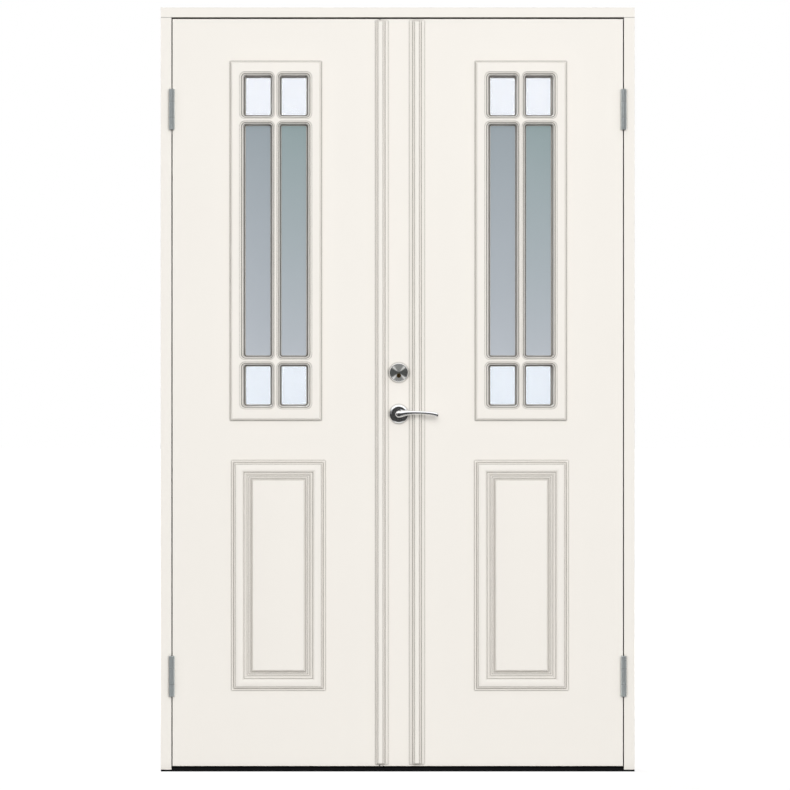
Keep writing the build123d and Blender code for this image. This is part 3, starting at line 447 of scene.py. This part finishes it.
def fine_roses():
    """The three roses: a flat face, a short slope and a thin upright edge."""
    sheet = bmesh.new()
    for z, face, out, bore in ((SPINDLE_Z, FACE_Y, -1, LEVER_BORE), (SPINDLE_Z, BACK_Y, 1, LEVER_BORE),
                               (CYLINDER_Z, BACK_Y, 1, THUMBTURN_BORE)):
        profile = rounded([(bore, 0.0), (bore, ROSE[0][1]), *ROSE], TURNED_EDGE)
        turned(sheet, profile, (LOCK_X, face, z), out)
    mesh_piece("fine_roses", closed_mesh("fine_roses", sheet), "active_leaf", "chrome", "roses")


def fine_ring():
    """The guard ring: a bevelled rim round a polished slope into its bore."""
    low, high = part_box("cylinder_ring")
    middle_z = (low.z + high.z) / 2
    stand = FACE_Y - low.y
    sheet = bmesh.new()
    profile = rounded([(RING_FOOT, 0.0001), (0.0266, stand - 0.0042), (0.0247, stand - 0.0006),
                       (0.0236, stand), (RING_BORE, stand - 0.0012), (RING_BORE, 0.0001)], TURNED_EDGE)
    turned(sheet, profile, (LOCK_X, FACE_Y, middle_z), -1)
    mesh_piece("fine_ring", closed_mesh("fine_ring", sheet), "active_leaf", "chrome", "cylinder_ring")


# Stations along a lever's grip: share of its reach, rise, half height and half depth.
GRIP = (
    (0.0, 0.0, 0.0092, 0.0086), (0.06, 0.0008, 0.0090, 0.0084), (0.13, 0.0022, 0.0082, 0.0079),
    (0.22, 0.0036, 0.0070, 0.0074), (0.32, 0.0043, 0.0061, 0.0071), (0.5, 0.0042, 0.0053, 0.0069),
    (0.63, 0.0038, 0.0050, 0.0070), (0.75, 0.0028, 0.0054, 0.0072), (0.86, 0.0010, 0.0060, 0.0075),
    (0.93, -0.0008, 0.0065, 0.0077), (0.975, -0.0022, 0.0062, 0.0071), (0.993, -0.0028, 0.0046, 0.0056),
)
GRIP_DEPTH = 0.0095  # from the grip's middle to the front of the lever's box


def lever_shape(name, face, out, node):
    """One cast lever: a domed neck out of the rose and a slim curved grip with a thicker tip."""
    low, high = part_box(node)
    reach = high.x - LOCK_X
    grip_y = (low.y + GRIP_DEPTH) if out < 0 else (high.y - GRIP_DEPTH)
    around = 40
    sheet = bmesh.new()
    rings = []
    for share, rise, half_height, half_depth in GRIP:
        x = LOCK_X + share * reach
        rings.append([
            sheet.verts.new((x, grip_y + half_depth * math.cos(2 * math.pi * i / around),
                             SPINDLE_Z + rise + half_height * math.sin(2 * math.pi * i / around)))
            for i in range(around)
        ])
    skirt(sheet, rings)
    sheet.faces.new(rings[0])
    sheet.faces.new(rings[-1])
    stand = abs(grip_y - face)
    neck = rounded([(0.0002, 0.0003), (0.0094, 0.0003), (0.0090, stand * 0.5), (0.0093, stand * 0.82),
                    (0.0091, stand + 0.0056), (0.0052, stand + 0.0084), (0.0002, stand + 0.0092)], 0.0062)
    ends = turned(sheet, neck, (LOCK_X, face, SPINDLE_Z), out, around, closed=False)
    sheet.faces.new(ends[0])
    sheet.faces.new(ends[-1])
    rough = closed_mesh(name + "_rough", sheet)
    shape = bpy.data.objects.new(name + "_rough", rough)
    bpy.context.scene.collection.objects.link(shape)
    cast = shape.modifiers.new("cast", "REMESH")
    cast.mode = "VOXEL"
    cast.voxel_size = 0.0008
    polish = shape.modifiers.new("polish", "SMOOTH")
    polish.factor = 0.5
    polish.iterations = 9
    bpy.context.view_layer.update()
    shaped = shape.evaluated_get(bpy.context.evaluated_depsgraph_get())
    mesh = bpy.data.meshes.new_from_object(shaped)
    mesh.name = name
    bpy.data.objects.remove(shape)
    mesh_piece(name, mesh, "lever_handle", "chrome", node)


def loop_at(sheet, centre_x, centre_z, width, height, corner, y, steps=9):
    """A rounded rectangle of vertices at one depth, anticlockwise from the front."""
    ring = []
    for turn, (way_x, way_z) in enumerate(((1, 1), (-1, 1), (-1, -1), (1, -1))):
        x = centre_x + way_x * (width / 2 - corner)
        z = centre_z + way_z * (height / 2 - corner)
        for i in range(steps + 1):
            angle = math.pi / 2 * (turn + i / steps)
            ring.append(sheet.verts.new((x + corner * math.cos(angle), y, z + corner * math.sin(angle))))
    return ring


def sheet_with_holes(sheet, loops):
    """A flat face inside the first loop and outside the others."""
    edges = []
    for loop in loops:
        for first, second in zip(loop, loop[1:] + loop[:1]):
            edges.append(sheet.edges.get((first, second)) or sheet.edges.new((first, second)))
    bmesh.ops.triangle_fill(sheet, edges=edges, use_beauty=True)


# The deepest paint, round the glass, has darker painted shade in each hollow and crease than the paint of
# the other mouldings.
deep_paint = paint("painted_cassette", soften=0.0004, peel=0.000008, depth=1.0, hollow=0.36,
                   crease=0.30, reach=0.006)
# The moulding from a cassette's face to its glass: share of the depth, share of the reach. A shallow
# step, a fine groove, the slope, then a deep groove and a bead at the glass.
REVEAL = (
    (0.0, 0.0), (0.02, 0.012), (0.060, 0.030), (0.070, 0.060), (0.066, 0.16), (0.072, 0.26),
    (0.105, 0.315), (0.150, 0.335), (0.215, 0.345), (0.225, 0.420), (0.175, 0.435), (0.170, 0.500),
    (0.190, 0.560), (0.260, 0.610), (0.420, 0.650), (0.600, 0.690), (0.620, 0.725), (0.650, 0.740),
    (0.950, 0.760), (0.980, 0.790), (0.980, 0.870), (0.880, 0.895), (0.865, 0.925), (0.880, 0.970),
    (1.0, 1.0),
)
# A cassette's margins and the bars between its lights, at the face.
SIDE_MARGIN, TOP_MARGIN, BOTTOM_MARGIN, MUNTIN = 0.026, 0.0292, 0.0315, 0.004
LIGHT_HEIGHT, LIGHT_CORNER, GLASS_CORNER = 0.130, 0.016, 0.0035
# How far the moulding reaches in from a light's edge to its glass.
EDGE_REACH, TOP_REACH, BOTTOM_REACH, BAR_REACH = 0.017, 0.0142, 0.0135, 0.013
OVERLAP = 0.0115  # how far the cassette covers the skin round its opening, with its clearance
SHARP_CORNER = 0.0006


def fine_cassette(name, node, pane, body, skin_y, out):
    """A moulded glazing frame with six lights, each with a crisp moulding down to its glass."""
    low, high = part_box(node)
    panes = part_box(pane)
    glass_y = panes[0].y if out < 0 else panes[1].y
    face_y = low.y if out < 0 else high.y
    x, z = (low.x + high.x) / 2, (low.z + high.z) / 2
    width, height = high.x - low.x, high.z - low.z
    sheet = bmesh.new()
    stand = abs(face_y - skin_y)
    slope = ((0.0, 0.0), (0.0, 0.0007), (0.0015, 0.0008), (0.0017, 0.0044), (0.0021, 0.0052),
             (0.0066, stand - 0.0006), (0.0074, stand - 0.0001), (0.0082, stand))
    rim = [loop_at(sheet, x, z, width - 2 * inset, height - 2 * inset, SHARP_CORNER, skin_y + out * rise)
           for inset, rise in slope]
    left, right = x - width / 2 + SIDE_MARGIN, x + width / 2 - SIDE_MARGIN
    bottom, top = z - height / 2 + BOTTOM_MARGIN, z + height / 2 - TOP_MARGIN
    light_width = (right - left - MUNTIN) / 2
    columns = ((left, left + light_width, EDGE_REACH, BAR_REACH),
               (right - light_width, right, BAR_REACH, EDGE_REACH))
    step = LIGHT_HEIGHT + MUNTIN
    rows = ((bottom, bottom + LIGHT_HEIGHT, BOTTOM_REACH, BAR_REACH),
            (bottom + step, top - step, BAR_REACH, BAR_REACH),
            (top - LIGHT_HEIGHT, top, BAR_REACH, TOP_REACH))
    face_loops, glass_loops = [rim[-1]], []
    for x0, x1, reach_left, reach_right in columns:
        for z0, z1, reach_low, reach_high in rows:
            rings = []
            for depth, reach in REVEAL:
                middle_x = (x0 + x1 + reach * (reach_left - reach_right)) / 2
                middle_z = (z0 + z1 + reach * (reach_low - reach_high)) / 2
                across = x1 - x0 - reach * (reach_left + reach_right)
                up = z1 - z0 - reach * (reach_low + reach_high)
                corner = LIGHT_CORNER + reach * (GLASS_CORNER - LIGHT_CORNER)
                y = face_y + depth * (glass_y - face_y)
                rings.append(loop_at(sheet, middle_x, middle_z, across, up, corner, y))
            skirt(sheet, rings)
            face_loops.append(rings[0])
            glass_loops.append(rings[-1])
    skirt(sheet, rim)
    sheet_with_holes(sheet, face_loops)
    inner = [loop_at(sheet, x, z, width - 2 * OVERLAP, height - 2 * OVERLAP, SHARP_CORNER, y)
             for y in (skin_y, glass_y)]
    skirt(sheet, [rim[0], *inner])
    sheet_with_holes(sheet, [inner[1], *glass_loops])
    dress(mesh_piece(name, closed_mesh(name, sheet), body, "painted_moulding", node), deep_paint)


# The lower panel from its foot to its field: inset and rise in metres, with two fine grooves in the
# outer moulding and three ridges in the valley before the field's slope.
PANEL = (
    (0.0006, 0.0), (0.0006, 0.0004), (0.0016, 0.0005), (0.0018, 0.0034), (0.0022, 0.0040),
    (0.0052, 0.0043), (0.0058, 0.0036), (0.0071, 0.0035), (0.0075, 0.0052), (0.0083, 0.0072),
    (0.0093, 0.0087), (0.0107, 0.0093), (0.0112, 0.0084), (0.0126, 0.0084), (0.0130, 0.0096),
    (0.0136, 0.0100), (0.0276, 0.0100), (0.0292, 0.0097), (0.0318, 0.0084), (0.0340, 0.0062),
    (0.0351, 0.0042), (0.0360, 0.0036), (0.0365, 0.0050), (0.0392, 0.0050), (0.0397, 0.0040),
    (0.0420, 0.0020), (0.0446, 0.0012), (0.0451, 0.0032), (0.0476, 0.0033), (0.0480, 0.0016),
    (0.0497, 0.0016), (0.0501, 0.0033), (0.0523, 0.0034), (0.0528, 0.0015), (0.0545, 0.0016),
    (0.0602, 0.0086), (0.0622, 0.0090),
)
PANEL_SQUEEZE = 0.94  # how much narrower the moulding is at the top and bottom than at the sides
PANEL_CORNER = 0.0003


def fine_panel(leaf):
    """A leaf's lower panel: its lined moulding, the stepped valley and the sloped field."""
    low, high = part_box(f"{leaf}_panel_moulding")
    x, z = (low.x + high.x) / 2, (low.z + high.z) / 2
    sheet = bmesh.new()
    rings = []
    for inset, rise in PANEL:
        width = high.x - low.x - 2 * inset
        height = high.z - low.z - 2 * inset * PANEL_SQUEEZE
        rings.append(loop_at(sheet, x, z, width, height, PANEL_CORNER, FACE_Y - rise, steps=1))
    skirt(sheet, rings)
    sheet_with_holes(sheet, [rings[-1]])
    sheet_with_holes(sheet, [rings[0]])
    name = f"fine_{leaf}_panel"
    mesh_piece(name, closed_mesh(name, sheet), f"{leaf}_leaf", "painted_moulding",
               f"{leaf}_panel_moulding", f"{leaf}_panel_field")


# A cover strip's side from its foot to its flat: inset and rise in metres. STRIP_BUTT is the steeper
# side of the meeting strip, over the passive leaf, and its foot stands clear of that leaf.
STRIP_CLEAR = 0.0004
STRIP_SIDE = (
    (0.0006, 0.0), (0.0006, 0.0006), (0.0014, 0.0007), (0.0016, 0.0024), (0.0022, 0.0031),
    (0.0082, 0.0053), (0.0088, 0.0042), (0.0102, 0.0042), (0.0106, 0.0060), (0.0116, 0.0078),
    (0.0132, 0.0090), (0.0140, 0.0091), (0.0145, 0.0081), (0.0158, 0.0081), (0.0162, 0.0097),
    (0.0168, 0.0100),
)
STRIP_BUTT = (
    (0.0016, STRIP_CLEAR), (0.0016, 0.0030), (0.0022, 0.0038), (0.0038, 0.0042), (0.0042, 0.0058),
    (0.0050, 0.0076), (0.0064, 0.0088), (0.0070, 0.0089), (0.0075, 0.0078), (0.0087, 0.0078),
    (0.0091, 0.0097), (0.0096, 0.0100),
)
STRIP_ENDS = ((0.0, 0.35), (0.0014, 0.6), (0.0052, 1.0))  # distance from an end, share of the rise
STRIP_LAP = 0.0125  # how far in from its left side the meeting strip's back stands clear


def fine_strip(node, first, back):
    """A lined cover strip with sloped ends; first is its left side and back the points of its back."""
    low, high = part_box(node)
    section = [(low.x + inset, rise) for inset, rise in first]
    section += [(high.x - inset, rise) for inset, rise in reversed(STRIP_SIDE)]
    section += [(low.x + inset, rise) for inset, rise in back]
    levels = [(low.z + away, share) for away, share in STRIP_ENDS]
    levels += [(high.z - away, share) for away, share in reversed(STRIP_ENDS)]
    sheet = bmesh.new()
    rings = [[sheet.verts.new((x, FACE_Y - rise * share, z)) for x, rise in section]
             for z, share in levels]
    skirt(sheet, rings)
    sheet.faces.new(rings[0])
    sheet.faces.new(rings[-1])
    name = f"fine_{node}"
    mesh_piece(name, closed_mesh(name, sheet), "active_leaf", "painted_moulding", node)


for leaf in ("active", "passive"):
    for side, skin_y, out in (("outer", FACE_Y, -1), ("inner", BACK_Y, 1)):
        node = f"{leaf}_{side}_cassette"
        fine_cassette(f"fine_{node}", node, f"{leaf}_clear_panes", f"{leaf}_leaf", skin_y, out)
    fine_panel(leaf)
fine_strip("meeting_cover_strip", STRIP_BUTT, ((STRIP_LAP, 0.0), (STRIP_LAP, STRIP_CLEAR)))
fine_strip("second_cover_strip", STRIP_SIDE, ())
fine_roses()
fine_ring()
lever_shape("fine_outer_lever", FACE_Y, -1, "outer_lever")
lever_shape("fine_inner_lever", BACK_Y, 1, "inner_lever")


WHITE = (1.0, 1.0, 1.0, 1.0)


def by_ray(tree, seen, mirrored, unseen):
    """One shader for the camera and through glass, one for reflections and one for all other light."""
    path = add(tree, "LightPath")
    indirect = add(tree, "MixShader", {0: path.outputs["Is Glossy Ray"], 1: unseen, 2: mirrored})
    direct = math_node(tree, "MAXIMUM", path.outputs["Is Camera Ray"], path.outputs["Is Transmission Ray"])
    return add(tree, "MixShader", {0: direct, 1: indirect.outputs["Shader"], 2: seen}).outputs["Shader"]


def glow(tree, colour, strength):
    """An emission shader."""
    return add(tree, "Emission", {"Color": colour, "Strength": strength}).outputs["Emission"]


def backdrop(tree, strength):
    """A white background shader."""
    return add(tree, "Background", {"Color": WHITE, "Strength": strength}).outputs["Background"]


def stage_floor():
    """A floor that is white but for a faint shadow; in reflections it is dark, with a band outdoors that
    glows as painted light for the metal to reflect.
    """
    mesh = bpy.data.meshes.new("floor")
    reach = 60.0
    corners = [(-reach, -reach, 0.0), (reach, -reach, 0.0), (reach, reach, 0.0), (-reach, reach, 0.0)]
    mesh.from_pydata(corners, [], [(0, 1, 2, 3)])
    floor = bpy.data.objects.new("floor", mesh)
    bpy.context.scene.collection.objects.link(floor)
    material, tree = blank("floor_white")
    matte = add(tree, "BsdfDiffuse", {"Color": (0.34, 0.335, 0.33, 1.0)}).outputs["BSDF"]
    away = add(tree, "VectorMath", {0: here(tree)}, operation="LENGTH").outputs["Value"]
    whitening = glow(tree, WHITE, span(tree, away, 0.84, 1.0, 1.2, 3.0))
    seen = add(tree, "AddShader", {0: matte, 1: whitening}).outputs["Shader"]
    depth = apart(tree, here(tree))["Y"]
    # Painted light: a band of floor in front of the door glows, only in reflections.
    band = times(tree, span(tree, depth, 1.0, 0.0, -0.42, -0.34), span(tree, depth, 0.0, 1.0, -0.74, -0.62))
    painted_reflection_glow = plus(tree, times(tree, band, 0.85), 0.06)
    shader = by_ray(tree, seen, glow(tree, (1.0, 0.99, 0.97, 1.0), painted_reflection_glow), matte)
    add(tree, "OutputMaterial", {"Surface": shader})
    mesh.materials.append(material)


def studio_world():
    """White to the camera and through glass; a soft sky for light; a darker room in reflections."""
    world = bpy.data.worlds.new("studio")
    bpy.context.scene.world = world
    world.use_nodes = True
    tree = world.node_tree
    tree.nodes.clear()
    x, y, z = apart(tree, add(tree, "TexCoord").outputs["Generated"])

    # The room in reflections: a light ceiling, a light wall indoors and a dim panel on the left.
    overhead = span(tree, z, 0.0, 1.25, 0.24, 0.60)
    behind = span(tree, y, 0.0, 0.9, 0.0, 0.35)
    panel = times(tree, span(tree, x, 0.0, 0.4, -0.3, -0.45), span(tree, x, 1.0, 0.0, -0.7, -0.9))
    panel = times(tree, panel, span(tree, z, 1.0, 0.0, 0.5, 0.8))
    room = math_node(tree, "MAXIMUM", math_node(tree, "MAXIMUM", overhead, behind), panel)
    room = plus(tree, room, 0.05)

    # The light on the object: mostly from in front, more from the right and above, and a faint sky.
    front = math_node(tree, "MAXIMUM", times(tree, y, -1.0), 0.0)
    front = math_node(tree, "POWER", front, 4.0)
    lean = plus(tree, plus(tree, times(tree, x, 0.35), times(tree, z, 0.45)), 1.0)
    sky = times(tree, times(tree, front, lean), 1.05)
    sky = plus(tree, sky, span(tree, z, 0.06, 0.16, -1.0, 1.0))

    shader = by_ray(tree, backdrop(tree, 1.0), backdrop(tree, room), backdrop(tree, sky))
    add(tree, "OutputWorld", {"Surface": shader})


def lamp(name, place, target, size, energy):
    """A square soft lamp that looks at a point and that reflections don't show."""
    light = bpy.data.lights.new(name, "AREA")
    light.shape = "SQUARE"
    light.size = size
    light.energy = energy
    holder = bpy.data.objects.new(name, light)
    holder.location = place
    way = Vector(target) - Vector(place)
    holder.rotation_mode = "QUATERNION"
    holder.rotation_quaternion = way.to_track_quat("-Z", "Y")
    holder.visible_glossy = False
    bpy.context.scene.collection.objects.link(holder)


EYE_X, EYE_Z, EYE_DISTANCE = -0.0074, 1.025, 10.0
HALF_VIEW = 1.07535  # half of what the photograph shows across, at the door's face
DOOR_MIDDLE = (0.0, 0.0, 1.0)


def photo_camera():
    """A level camera far in front of the door, as the photograph was taken."""
    data = bpy.data.cameras.new("camera")
    data.sensor_width = 36.0
    data.lens = data.sensor_width / 2 * EYE_DISTANCE / HALF_VIEW
    data.clip_end = 200.0
    camera = bpy.data.objects.new("camera", data)
    camera.location = (EYE_X, FACE_Y - EYE_DISTANCE, EYE_Z)
    camera.rotation_euler = (math.radians(90.0), 0.0, 0.0)
    bpy.context.scene.collection.objects.link(camera)
    bpy.context.scene.camera = camera


stage_floor()
studio_world()
lamp("key", (1.0, -12.6, 3.0), DOOR_MIDDLE, size=5.5, energy=1196.0)
lamp("back", (-2.5, 6.0, 4.0), DOOR_MIDDLE, size=3.5, energy=240.0)
photo_camera()
bpy.context.scene.view_settings.view_transform = "Standard"
